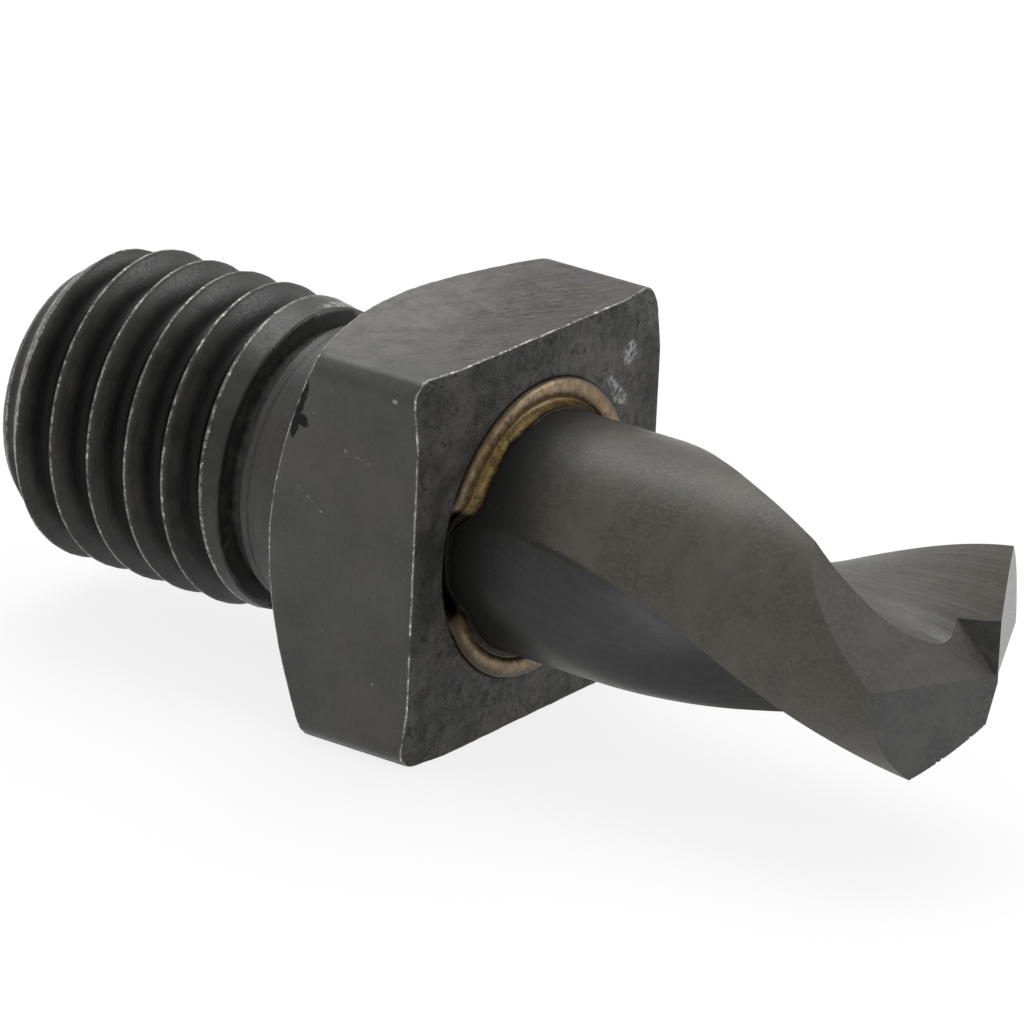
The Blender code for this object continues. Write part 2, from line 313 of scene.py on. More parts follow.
# Rows of points follow the helix, so each row keeps its place between root and crest. Rows past
# either end fold inwards over its face, which a point at its centre closes.
def makeThread(materials):
    s = threadSizes
    columns = s["columns"]
    lift = s["rowsPerTurn"]
    angle = np.arange(columns) * tau / columns
    half = lift // 2
    out = [0.5 * (1 - (1 - step / half) ** s["crowding"]) for step in range(half + 1)]
    shares = np.array(out[:-1] + [1 - share for share in reversed(out[1:])])
    top = s["reliefStart"]
    foldRun = s["foldTurns"] * s["pitch"]
    turnCount = ceil((top - endFace + foldRun) / s["pitch"] + s["foldTurns"])
    start = endFace - s["pitch"] * s["leadShare"] - foldRun
    rows = np.concatenate([shares + turn for turn in range(turnCount)])
    height = start + s["pitch"] * (rows[:, None] + angle[None, :] / tau)
    for edge in (endFace, endFace + s["chamferRun"], s["taperStart"], top):
        nearest = np.argmin(np.abs(height - edge), axis=0)
        height[nearest, np.arange(columns)] = edge
    inside = np.clip(height, endFace, top)
    radius, gap = threadRadius(angle[None, :], inside)
    points = ringPoints(angle, radius, inside)
    wear = easeStep(*s["wearOn"], gap) * (1 - easeStep(*s["wearOff"], gap))
    wear = wear * easeStep(endFace - 0.01, endFace + 0.2, inside)
    ragged = noiseAt(points, 5.0, 1) + 0.6 * noiseAt(points, 14.0, 2)
    radius = radius + s["burr"] * (ragged - s["burrShift"]) * easeStep(-0.1, 0.03, gap)
    fold = np.maximum(endFace - height, height - top) / (foldRun * s["foldMargin"])
    radius = radius * (1 - np.clip(fold, 0, s["foldMost"]))
    points = ringPoints(angle, radius, inside)
    count = len(rows)
    faces = skinFaces(count, columns, lift)
    rearRing = list(range(columns)) + [row * columns for row in range(lift, 0, -1)]
    frontRing = [(count - 1) * columns + column for column in range(columns)]
    frontRing += [(count - 1 - row) * columns + columns - 1 for row in range(1, lift + 1)]
    rearCentre, frontCentre = count * columns, count * columns + 1
    for ring, centre in ((rearRing[::-1], rearCentre), (frontRing, frontCentre)):
        faces += [(centre, ring[index - 1], ring[index]) for index in range(len(ring))]
    flat = np.vstack((points.reshape(-1, 3), [[0, 0, endFace], [0, 0, top]]))
    marks = {
        "wear": np.append(wear, [0, 0]),
        # how far a point lies down in a groove, where shade is painted
        "groove": np.append(easeStep(0.0, 0.5, -gap), [0, 0]),
        # the relief groove past the thread, which takes the dull black of painted shade
        "deep": np.append(easeStep(0.0, 0.01, height - top), [0, 1]),
    }
    return meshPiece("threaded_shank", flat, faces, marks, materials)


# Square collar, neck and mouth

collarSizes = dict(
    length=3.50,
    cornerRadius=5.28,
    rearFaceRadius=3.70,
    seatRadius=3.22,
    seatRise=0.05,
    frontFaceRadius=4.60,
    rearChamferAngle=radians(31),
    frontChamferAngle=radians(12),
    neckRadius=2.75,
    neckFillet=0.15,
    mouthRadius=2.94,
    mouthDepth=0.96,
    socketRadius=2.45,
    socketDepth=3.30,
    socketPoint=4.77,
    core=0.02,
    overlap=0.03,
    reliefSlope=0.03,
    leastChamfer=0.05,
    crowdedFrom=radians(39),
    flatColumns=48,
    cornerColumns=16,
    guard=0.03,
    mostRounding=0.42,
    mostGuard=0.48,
    raggedEdge=0.018,
    raggedShift=0.35,
    cornerBlend=0.15,
    arrisWidth=radians(0.35),
    arrisWear=0.2,
    neckLineAt=0.17,
    neckLineWidth=0.05,
    neckLineDepth=0.02,
    residueRadius=3.22,
    residueWidth=0.26,
    residueFade=8,
    residueArcs=((40, 60, 1.0), (4, 12, 0.8), (196, 236, 0.45)),
    residueSpot=(2.80, 2.75, 0.42),
)


# column angles, crowded at the collar's four corners
def collarAngles():
    s = collarSizes
    edge = s["crowdedFrom"]
    corner = np.linspace(edge, radians(45), s["cornerColumns"], endpoint=False)
    middle = np.linspace(-edge, edge, s["flatColumns"], endpoint=False)
    quarter = np.concatenate((-corner[::-1] - (corner[1] - corner[0]), middle, corner))
    return np.concatenate([quarter + turn * pi / 2 for turn in range(4)])


# points round one corner of the profile, for all columns at once, with their wear
def cornerRows(before, corner, after, rounding, wear):
    s = collarSizes
    toBefore, toAfter = before - corner, after - corner
    lengthBefore = np.linalg.norm(toBefore, axis=-1, keepdims=True)
    lengthAfter = np.linalg.norm(toAfter, axis=-1, keepdims=True)
    toBefore, toAfter = toBefore / lengthBefore, toAfter / lengthAfter
    reach = np.minimum(rounding, s["mostRounding"] * np.minimum(lengthBefore, lengthAfter))
    start = corner + toBefore * reach
    end = corner + toAfter * reach
    rows = [corner + toBefore * np.minimum(reach + s["guard"], s["mostGuard"] * lengthBefore)]
    for step in (0, 0.25, 0.5, 0.75, 1):
        rows.append((1 - step) ** 2 * start + 2 * step * (1 - step) * corner + step ** 2 * end)
    rows.append(corner + toAfter * np.minimum(reach + s["guard"], s["mostGuard"] * lengthAfter))
    return rows, [wear * share for share in (0, 0.6, 1, 1, 1, 0.6, 0)]


# rows of points along the whole profile, for all columns at once, with their wear
def profileRows(corners, columns):
    even = np.ones(columns)
    spots = [np.stack((radius * even, height * even), axis=-1) for radius, height, *rest in corners]
    rows, wear = [spots[0]], [0]
    for index in range(1, len(spots)):
        rounding, worn, steps = corners[index][2:]
        nextRows, nextWear = [spots[index]], [0]
        if rounding > 0:
            nextRows, nextWear = cornerRows(*spots[index - 1:index + 2], rounding, worn)
        for step in range(1, steps + 1):
            rows.append(rows[-step] + (nextRows[0] - rows[-step]) * step / (steps + 1))
            wear.append(0)
        rows += nextRows
        wear += nextWear
    return np.array(rows), np.array(wear)[:, None] * even


# where pale flux is left on the front face: arcs just outside the filler, in degrees from the
# top, and one spot by a corner
def residueShare(points):
    s = collarSizes
    up, across = -points[..., 0], points[..., 1]
    reach = np.hypot(up, across)
    bearing = np.degrees(np.arctan2(across, up)) % 360
    ring = np.exp(-((reach - s["residueRadius"]) / s["residueWidth"]) ** 2)
    fade = s["residueFade"]
    share = 0 * reach
    for first, last, strength in s["residueArcs"]:
        window = easeStep(first - fade, first + fade, bearing)
        window = window * (1 - easeStep(last - fade, last + fade, bearing))
        share = np.maximum(share, strength * ring * window)
    spotAcross, spotUp, spotSize = s["residueSpot"]
    away = np.hypot(across - spotAcross, up - spotUp)
    return np.maximum(share, np.exp(-(away / spotSize) ** 2))


def makeCollar(materials):
    s = collarSizes
    t = threadSizes
    angle = collarAngles()
    columns = len(angle)
    turn = (angle + pi / 4) % (pi / 2) - pi / 4
    outer = smoothMin(squareHalf / np.cos(turn), np.full(columns, s["cornerRadius"]), s["cornerBlend"])
    frontInner = np.minimum(s["frontFaceRadius"], outer - s["leastChamfer"])
    frontDrop = (outer - s["frontFaceRadius"]) * tan(s["frontChamferAngle"])
    frontDrop = np.maximum(frontDrop, s["leastChamfer"] / 3)
    rearLand = -s["length"] + (outer - s["rearFaceRadius"]) * tan(s["rearChamferAngle"])
    neckFace = -s["length"] + s["seatRise"]
    hidden = t["reliefStart"] - s["overlap"]
    neckLine = t["reliefEnd"] + s["neckLineAt"]
    lineWidth = s["neckLineWidth"]
    # radius, height, rounding, wear, steps in the straight part before the corner
    corners = [
        (s["core"], hidden, 0.0, 0, 0),
        (t["reliefRadius"], hidden, 0.0, 0, 0),
        (t["reliefRadius"], t["reliefEnd"] - s["reliefSlope"], 0.02, 0, 1),
        (s["neckRadius"], t["reliefEnd"], 0.03, 0.3, 0),
        (s["neckRadius"], neckLine, 0.01, 0, 1),
        (s["neckRadius"] - s["neckLineDepth"], neckLine + lineWidth / 2, 0.0, 0, 0),
        (s["neckRadius"], neckLine + lineWidth, 0.01, 0, 0),
        (s["neckRadius"], neckFace, s["neckFillet"], 0, 8),
        (s["seatRadius"], neckFace, 0.01, 0, 1),
        (s["seatRadius"], -s["length"], 0.02, 0, 0),
        (s["rearFaceRadius"], -s["length"], 0.03, 0.3, 2),
        (outer, rearLand, 0.022, 1, 6),
        (outer, -frontDrop, 0.025, 1, 24),
        (frontInner, 0, 0.05, 0, 2),
        (s["mouthRadius"], 0, 0.05, 0.25, 16),
        (s["mouthRadius"], -s["mouthDepth"], 0.01, 0, 4),
        (s["socketRadius"], -s["mouthDepth"], 0.01, 0, 0),
        (s["socketRadius"], -s["socketDepth"], 0.01, 0, 1),
        (s["core"], -s["socketPoint"], 0.0, 0, 0),
    ]
    profile, wear = profileRows(corners, columns)
    height = profile[..., 1]
    # the arris between a flat and the corner land wears too
    arrisAt = acos(squareHalf / s["cornerRadius"])
    arris = np.exp(-((np.abs(turn) - arrisAt) / s["arrisWidth"]) ** 2)
    onLand = (profile[..., 0] > outer - 0.01) & (height > -s["length"])
    wear = np.maximum(wear, s["arrisWear"] * arris * onLand)
    points = ringPoints(angle, profile[..., 0], height)
    ragged = noiseAt(points, 2.2, 3) + 0.7 * noiseAt(points, 7.0, 4)
    cut = s["raggedEdge"] * wear * np.clip(ragged + s["raggedShift"], 0, 1.5)
    radius = profile[..., 0] - cut * (height > -s["length"] - 0.01)
    points = ringPoints(angle, radius, height)
    inMouth = (radius < s["mouthRadius"] + 0.02) & (height > -s["mouthDepth"] - 0.01)
    marks = {
        "wear": wear,
        "front": (height > -frontDrop - 0.002) & (radius > s["mouthRadius"]),
        "turned": (radius < s["rearFaceRadius"]) & (height < -s["mouthDepth"] - 0.1),
        # the relief groove and the mouth's wall, which take the dull black of painted shade
        "deep": (height < t["reliefEnd"] - 0.005) | (inMouth & (height < -0.045)),
        "residue": residueShare(points),
    }
    return meshPiece("collar", points, skinFaces(len(profile), columns), marks, materials)


# Drill

drillSizes = dict(
    radius=2.40,
    shankTail=3.20,
    lipCornerHeight=9.66,
    flutedLength=11.20,
    twistLead=32.0,
    runoutTop=5.20,
    runoutLength=6.22,
    runoutShare=0.756,
    runoutAngle=radians(62),
    runoutPower=1.5,
    softTop=5.8,
    softLength=3.4,
    softMost=0.90,
    softDepthShare=0.2,
    softHeelAngle=radians(6),
    heelFullness=0.5,
    heelFullFrom=0.55,
    webShare=0.25,
    heelLean=radians(20),
    heelFootShare=-0.15,
    filletShare=0.38,
    reachShare=1.3,
    leastFlute=0.04,
    tipLipAngle=radians(306.7),
    pointHalfAngle=radians(67.5),
    relief=radians(15),
    heelRelief=radians(53.5),
    heelSide=radians(22.3),
    split=radians(43),
    chiselHalf=0.04,
    heelDrop=0.05,
    grindSpan=6.0,
    fluteSteps=48,
    landSteps=28,
    searchSteps=720,
    sectionStep=0.11,
    smoothAngle=radians(24),
    chipCount=24,
    chipRadius=0.035,
    chipSizes=(0.30, 1.5),
    chipLift=0.3,
    chipShift=0.5,
    landFade=(0.12, 0.015),
    # where the thin painted shadow line lies behind the leading edges, how wide it is and where it fades out
    lineAhead=0.09,
    lineWidth=0.07,
    lineFade=(1.5, 4.5),
    lean=radians(0.5),
    leanBack=0.003,
    wallSlope=0.1,
)


# a point of the flute, along the lip and ahead of it, in shares of the radius
def flutePoint(share, shift):
    s = drillSizes
    opening = pi / 2 + s["heelLean"]
    tangent = s["filletShare"] / tan(opening / 2)
    faceLength = s["reachShare"] - s["heelFootShare"] - tangent
    arcLength = s["filletShare"] * (pi - opening)
    run = share * (faceLength + arcLength + s["reachShare"] - tangent)
    if run < faceLength:
        point = Vector((s["reachShare"] - run, s["webShare"]))
    elif run < faceLength + arcLength:
        bend = -pi / 2 - (run - faceLength) / s["filletShare"]
        centre = Vector((s["heelFootShare"] + tangent, s["webShare"] + s["filletShare"]))
        point = centre + s["filletShare"] * pointAt(bend)
    else:
        along = tangent + run - faceLength - arcLength
        wall = Vector((-sin(s["heelLean"]), cos(s["heelLean"])))
        point = Vector((s["heelFootShare"], s["webShare"])) + along * wall
    return point + shift * pointAt(s["runoutAngle"])


# one flute's points from lip to heel at this height, all within the drill's radius
def fluteSection(height):
    s = drillSizes
    back = max(s["runoutTop"] - height, 0) / s["runoutLength"]
    shift = s["runoutShare"] * back ** s["runoutPower"]
    shares = [step / s["searchSteps"] for step in range(s["searchSteps"] + 1)]
    inside = [share for share in shares if flutePoint(share, shift).length < 1]
    if not inside:
        inside = [min(shares, key=lambda share: flutePoint(share, shift).length)]
    middle = (inside[0] + inside[-1]) / 2
    half = max((inside[-1] - inside[0] + shares[1]) / 2, s["leastFlute"])
    points = []
    for step in range(s["fluteSteps"] + 1):
        point = flutePoint(middle + half * (2 * step / s["fluteSteps"] - 1), shift)
        if point.length > 1 or step in (0, s["fluteSteps"]):
            point = point.normalized()
        points.append(point)
    return points


# near the mouth the flute runs out as a shallow dish with a small step behind the leading edge
def softFlute(height):
    s = drillSizes
    flute = fluteSection(height)
    soft = s["softMost"] * float(easeStep(0, 1, (s["softTop"] - height) / s["softLength"]))
    lip = angleOf(flute[0])
    heel = angleOf(flute[-1]) + s["softHeelAngle"] * soft
    depth = (1 - min(point.length for point in flute)) * s["softDepthShare"]
    # the dish's curve, share * (1 - share) ** 2, is highest at one third
    curveTop = 4 / 27
    points = []
    for index, point in enumerate(flute):
        share = index / s["fluteSteps"]
        dish = depth * share * (1 - share) ** 2 / curveTop
        shallow = (1 - dish) * pointAt(lip + (heel - lip) * share)
        point = point.lerp(shallow, soft)
        fullness = s["heelFullness"] * float(easeStep(s["heelFullFrom"], 1.0, share))
        points.append(point.lerp(point.normalized(), fullness))
    points[-1].normalize()
    return points


def drillTurn(height):
    s = drillSizes
    height = np.maximum(height, s["runoutTop"] - s["runoutLength"])
    return s["tipLipAngle"] - tau * (s["lipCornerHeight"] - height) / s["twistLead"]


def drillSection(height):
    s = drillSizes
    half = softFlute(height)
    heel = angleOf(half[-1])
    nextLip = angleOf(half[0]) + pi
    for step in range(1, s["landSteps"]):
        half.append(pointAt(heel + (nextLip - heel) * step / s["landSteps"]))
    section = []
    for halfTurn in (0, pi):
        spin = Matrix.Rotation(drillTurn(height) + halfTurn, 2)
        section += [(spin @ point) * s["radius"] for point in half]
    return section


# a block from a corner along three edges
def slantedBlock(name, corner, edges, material):
    columns = Matrix(edges).transposed().to_4x4()
    shape = bmesh.new()
    middle = corner + sum(edges, Vector()) / 2
    bmesh.ops.create_cube(shape, size=1, matrix=Matrix.Translation(middle) @ columns)
    bmesh.ops.recalc_face_normals(shape, faces=shape.faces)
    return addObject(name, meshFrom(shape, name, material))


# half the web, how far the lip reaches along itself, and the height where the lips' lines end
def lipFrame():
    s = drillSizes
    webHalf = s["webShare"] * s["radius"]
    reach = sqrt(s["radius"] ** 2 - webHalf ** 2)
    return webHalf, reach, s["lipCornerHeight"] + reach / tan(s["pointHalfAngle"])


# the blocks that grind one side of the split point
def pointCutters(side, flankMaterial, heelMaterial):
    s = drillSizes
    turn = s["tipLipAngle"] + side * pi
    alongLip = Vector((cos(turn), sin(turn), 0))
    ahead = Vector((-sin(turn), cos(turn), 0))
    up = Vector((0, 0, 1))
    span = s["grindSpan"]
    webHalf, reach, lipTop = lipFrame()
    lipEdge = alongLip - up / tan(s["pointHalfAngle"])
    flankEdge = -ahead - up * tan(s["relief"])
    flankCorner = ahead * webHalf + up * lipTop - (lipEdge + flankEdge) * span
    flankEdges = (lipEdge * span * 2, flankEdge * span * 2, up * span)
    flank = slantedBlock("flankCutter" + str(side), flankCorner, flankEdges, flankMaterial)
    heelTilt = alongLip * tan(s["heelSide"]) + ahead * tan(s["heelRelief"])
    splitLine = -alongLip * cos(s["split"]) - ahead * sin(s["split"])
    away = alongLip * sin(s["split"]) - ahead * cos(s["split"])
    splitEdge = splitLine + up * splitLine.dot(heelTilt)
    heelEdge = away + up * away.dot(heelTilt)
    chiselTop = lipTop - webHalf * tan(s["relief"])
    heelCorner = away * s["chiselHalf"] + up * (chiselTop - s["heelDrop"]) - splitEdge * span
    heelEdges = (splitEdge * span * 2, heelEdge * span, up * span * 2)
    heel = slantedBlock("heelCutter" + str(side), heelCorner, heelEdges, heelMaterial)
    return flank, heel


# a point of one side's lip, where its twisted flute meets its flank, closed in on step by step
def lipSpot(side, share):
    s = drillSizes
    webHalf, reach, lipTop = lipFrame()
    height = lipTop
    for tries in range(4):
        twist = drillTurn(height) - s["tipLipAngle"]
        spot = Matrix.Rotation(twist, 2) @ Vector((reach * share, webHalf))
        height = lipTop - spot.x / tan(s["pointHalfAngle"])
        height += (spot.y - webHalf) * tan(s["relief"])
    flat = Matrix.Rotation(s["tipLipAngle"] + side * pi, 2) @ spot
    return Vector((flat.x, flat.y, height))


# small balls strung along the lips, which leave them finely chipped
def chipCutter(material):
    s = drillSizes
    least, vary = s["chipSizes"]
    shape = bmesh.new()
    for side in (0, 1):
        for index in range(s["chipCount"]):
            seed = Vector((index * 1.7, side * 9.1, 0.3))
            size = s["chipRadius"] * (least + vary * abs(noise.noise(seed)))
            spot = lipSpot(side, (index + 0.5) / s["chipCount"])
            shift = Vector((0, 0, s["chipLift"])) + s["chipShift"] * noise.noise_vector(seed)
            spot += s["chipRadius"] * shift
            bmesh.ops.create_icosphere(shape, subdivisions=1, radius=size, matrix=Matrix.Translation(spot))
    return addObject("chipCutter", meshFrom(shape, "chipCutter", material))


# the piece's mesh with the cutters taken out of it, each leaving its own material
def grind(piece, cutters):
    for cutter in cutters:
        cut = piece.modifiers.new(cutter.name, "BOOLEAN")
        cut.operation = "DIFFERENCE"
        cut.solver = "EXACT"
        cut.material_mode = "TRANSFER"
        cut.object = cutter
    bpy.context.view_layer.update()
    shaped = piece.evaluated_get(bpy.context.evaluated_depsgraph_get())
    piece.data = bpy.data.meshes.new_from_object(shaped)
    piece.modifiers.clear()
    for cutter in cutters:
        bpy.data.objects.remove(cutter)


# what the drill's materials read: the place before the twist, the lands, and a line just behind the leading
# edges where a thin shadow is painted
def markDrill(mesh, heights):
    s = drillSizes
    points = np.array([vertex.co for vertex in mesh.vertices])
    radius = np.hypot(points[:, 0], points[:, 1])
    turn = np.arctan2(points[:, 1], points[:, 0]) - drillTurn(points[:, 2])
    untwisted = mesh.attributes.new("untwisted", "FLOAT_VECTOR", "POINT")
    untwisted.data.foreach_set("vector", ringPoints(turn, radius, points[:, 2]).astype(np.float32).ravel())
    addMark(mesh, "land", easeStep(*(s["radius"] - run for run in s["landFade"]), radius))
    lips = [angleOf(softFlute(height)[0]) for height in heights]
    # a line just behind each leading edge, fading away from the mouth, where a thin shadow is painted
    ahead = (turn - np.interp(points[:, 2], heights, lips)) % pi * s["radius"]
    edge = np.exp(-((ahead - s["lineAhead"]) / s["lineWidth"]) ** 2)
    addMark(mesh, "edge", edge * (1 - easeStep(*s["lineFade"], points[:, 2])))


# the materials are those of the body, the near flank painted darker as its shade, the far flank painted
# lighter as its highlight, the heels, and the walls in painted shade
def makeDrill(materials):
    s = drillSizes
    heel = materials[3]
    first = s["runoutTop"] - s["runoutLength"]
    count = ceil((s["flutedLength"] - first) / s["sectionStep"])
    heights = [-s["shankTail"]]
    heights += [first + (s["flutedLength"] - first) * step / count for step in range(count + 1)]
    points = [(point.x, point.y, height) for height in heights for point in drillSection(height)]
    columns = len(points) // len(heights)
    faces = skinFaces(len(heights), columns)
    faces.append(tuple(reversed(range(columns))))
    faces.append(tuple(range(len(points) - columns, len(points))))
    mesh = bpy.data.meshes.new("drill_body")
    mesh.from_pydata(points, [], faces)
    for material in materials:
        mesh.materials.append(material)
    piece = addObject("drill_body", mesh)
    cutters = []
    for side in (0, 1):
        cutters += pointCutters(side, materials[1 + side], heel)
    cutters.append(chipCutter(heel))
    grind(piece, cutters)
    mesh = piece.data
    # the upright walls of the split take the dull black of painted shade
    for polygon in mesh.polygons:
        upright = abs(polygon.normal.z) < s["wallSlope"] and polygon.center.z > s["lipCornerHeight"]
        if upright and mesh.materials[polygon.material_index] == heel:
            polygon.material_index = len(mesh.materials) - 1
    markDrill(mesh, heights)
    # this specimen's drill was brazed in slightly nose down, so it also sits a hair further back
    toTail = Matrix.Translation((0, 0, s["shankTail"]))
    fromTail = Matrix.Translation((0, 0, -s["shankTail"] - s["leanBack"]))
    mesh.transform(place @ fromTail @ Matrix.Rotation(s["lean"], 4, "Y") @ toTail)
    mesh.shade_smooth()
    mesh.set_sharp_from_angle(angle=s["smoothAngle"])
    return piece


# Brazing filler

brazeSizes = dict(
    outer=2.945,
    drillRadius=2.40,
    filmRadius=2.408,
    innerRadius=2.20,
    floor=-0.90,
    crown=0.13,
    trough=0.02,
    crownShare=0.74,
    climb=0.25,
    lowerClimbLoss=0.7,
    slopePowers=(1.6, 1.8),
    sink=0.34,
    dipFlattening=0.6,
    dipMargin=radians(1),
    dipShift=radians(4),
    dipEase=radians(9),
    lumps=0.009,
    beadShare=0.62,
    columns=360,
    crownSteps=18,
    filmSteps=12,
)


# 1 where a flute runs under the filler, 0 beside the lands
def brazeDip(angle):
    s = brazeSizes
    flute = fluteSection(0)
    spin = float(drillTurn(0.0))
    lipSide = angleOf(flute[0]) + spin
    heelSide = angleOf(flute[-1]) + spin
    half = (heelSide - lipSide) / 2 + s["dipMargin"]
    middle = (lipSide + heelSide) / 2 + s["dipShift"]
    away = np.abs((angle - middle + pi / 2) % pi - pi / 2)
    return easeStep(0, 1, (half + s["dipEase"] - away) / (2 * s["dipEase"]))


# a rounded bead by the mouth's wall, and inside it a film that climbs the drill
def makeBraze(material):
    s = brazeSizes
    angle = np.arange(s["columns"]) * tau / s["columns"]
    even = np.ones(s["columns"])
    dip = brazeDip(angle)
    circle = ringPoints(angle, s["drillRadius"] * even, 0)
    climb = s["climb"] * (1 + 0.3 * noiseAt(circle, 0.8, 5) + 0.12 * noiseAt(circle, 3.0, 6))
    climb = climb * (1 - s["lowerClimbLoss"] * easeStep(-0.6, 1.0, circle[:, 0]))
    crownWidth = (s["outer"] - s["filmRadius"]) * s["crownShare"]
    # radius, height, share of the way across from the mouth's wall to the drill
    rows = [(s["outer"], s["floor"], 0)]
    for step in range(s["crownSteps"] + 1):
        bend = pi * step / s["crownSteps"]
        radius = s["outer"] - crownWidth / 2 * (1 - cos(bend))
        height = s["trough"] + (s["crown"] - s["trough"]) * sin(bend)
        rows.append((radius, height, s["beadShare"] * step / s["crownSteps"]))
    start = s["outer"] - crownWidth
    narrowing, rising = s["slopePowers"]
    for step in range(1, s["filmSteps"] + 1):
        share = step / s["filmSteps"]
        radius = s["filmRadius"] + (start - s["filmRadius"]) * (1 - share) ** narrowing
        height = s["trough"] + (climb - s["trough"]) * share ** rising
        rows.append((radius, height, s["beadShare"] + (1 - s["beadShare"]) * share))
    rows.append((s["innerRadius"], climb - 0.02, 1))
    rows.append((s["innerRadius"], s["floor"], 1))
    radius, height, across = (np.array([row[part] * even for row in rows]) for part in range(3))
    points = ringPoints(angle, radius, height)
    top = height > s["floor"] + 0.1
    lump = s["lumps"] * (noiseAt(points, 3.0, 7) + 0.5 * noiseAt(points, 9.0, 8))
    height = height * np.where(top, 1 - s["dipFlattening"] * dip, 1)
    height = np.maximum(height + top * (lump * (1 - dip) - s["sink"] * dip), s["floor"])
    points = ringPoints(angle, radius, height)
    # the bottom and right side of the filler, where its bands are painted darker as shade
    shadedSide = np.maximum(easeStep(0.0, 1.2, points[..., 0]), easeStep(0.9, 2.2, points[..., 1]))
    marks = {"across": across, "dip": dip * np.ones_like(across), "shadedSide": shadedSide}
    return meshPiece("braze_filler", points, skinFaces(len(rows), s["columns"]), marks, [material])


# Blackened steel

oxideSettings = dict(
    dark=(0.019, 0.019, 0.018),
    light=(0.039, 0.038, 0.035),
    brown=(0.046, 0.034, 0.025),
    film=(0.084, 0.081, 0.070),
    darkStain=(0.013, 0.010, 0.007),
    paleBlots=(0.095, 0.083, 0.058),
    rustStain=(0.032, 0.018, 0.010),
    crack=(0.007, 0.006, 0.005),
    turning=(0.008, 0.008, 0.008),
    nick=(0.008, 0.008, 0.008),
    paleDust=(0.30, 0.30, 0.28),
    wornLine=(0.24, 0.23, 0.21),
    wornDots=(0.62, 0.60, 0.56),
    roughness=(0.34, 0.48),
    grindTurn=radians(58),
    nickTurn=radians(19),
)

# scratches and grains of dust on the side flat: across and up in world millimetres, half length,
# half width, turn in degrees
flatMarks = (
    (0.47, 5.97, 0.30, 0.016, 13),
    (0.10, 6.02, 0.10, 0.030, 60),
    (-0.85, 5.00, 0.42, 0.010, 34),
    (-0.42, 4.72, 0.07, 0.030, 10),
    (1.16, 7.31, 0.07, 0.050, 0),
    (-0.60, 3.10, 0.05, 0.030, 20),
    (0.90, 1.60, 0.04, 0.030, 0),
)


# a thin grey line on the worn edges, broken in places, with brighter dots along it
def wornEdges(paint, strength):
    s = oxideSettings
    broken = paint.step(paint.noise(4.5, 6.0, 0.78), 0.38, 0.60, 0.25, 1.1)
    line = paint.step(paint.times(paint.mark("wear"), broken), 0.25, 0.8)
    dots = paint.times(line, paint.step(paint.noise(10.0, 4.0, 0.75), 0.52, 0.62))
    paint.cover(s["wornLine"], line, strength)
    paint.cover(s["wornDots"], dots, strength)
    return paint.times(line, 0.6)


# brown stain and fine dark cracks on the front half of the upper flat
def stainedTop(paint):
    s = oxideSettings
    top = squareHalf * 2
    onTop = paint.step(paint.along(2), top - 0.3, top - 0.02)
    area = paint.patch((0.9, 1.4, top), (2.3, 5.2, 2.0), (0, 0, radians(10)), 1.6, 2.0, 1.1)
    area = paint.times(area, onTop)
    # a pale mottled film on the top flat, which also stands for the sheen that grazing light gives the top:
    # the top alone is painted lighter here
    film = paint.patch((-1.2, -0.6, top), (3.2, 5.4, 2.0), (0, 0, radians(12)), 1.0, 1.6, 1.0)
    grain = paint.framed((0, 0, 0), (1.0, 0.13, 1.0), (0, 0, s["grindTurn"]))
    streaks = paint.step(paint.noise(1.3, 6.0, 0.75, 0.5, grain), 0.44, 0.56)
    blots = paint.step(paint.noise(1.9, 6.0, 0.72, 0.6), 0.48, 0.60)
    mottle = paint.step(paint.noise(2.6, 7.0, 0.78, 0.4), 0.36, 0.58, 0.25, 1.1)
    paint.cover(s["film"], film, onTop, mottle)
    paint.cover(s["darkStain"], area, 0.9)
    paint.cover(s["paleBlots"], area, blots, 0.8)
    paint.cover(s["rustStain"], area, streaks)
    cracks = paint.times(paint.cracks(paint.noise(0.9, 5.0, 0.6, 0.3, grain), 0.026), area, blots)
    paint.cover(s["crack"], cracks)
    return cracks, paint.most(cracks, paint.times(area, streaks, 0.7))


# the ragged nick by the rear edge of the side flat
def edgeNick(paint):
    turn = (0, oxideSettings["nickTurn"], 0)
    side = -squareHalf
    return paint.most(
        paint.patch((-1.01, side, 6.72), (0.10, 0.26, 0.55), turn, 0.9, 7.0),
        paint.patch((-0.97, side, 6.42), (0.20, 0.26, 0.13), (0, radians(25), 0), 1.0, 9.0),
        paint.patch((-1.13, side, 6.24), (0.09, 0.26, 0.24), turn, 1.0, 9.0),
    )


# scratches and dust on the side flat, and fine specks all over
def paleMarks(paint):
    marks = []
    for across, up, halfLength, halfWidth, turn in flatMarks:
        size = (halfLength, 0.06, halfWidth)
        marks.append(paint.patch((across, -squareHalf, up), size, (0, radians(turn), 0), 0.9, 11.0))
    marks = paint.times(paint.most(*marks), paint.step(paint.noise(14.0, 2.0), 0.44, 0.58), 0.5)
    speck = paint.step(paint.noise(15.0, 1.0, 0.4), 0.77, 0.80)
    return paint.most(paint.times(speck, 0.4), marks)


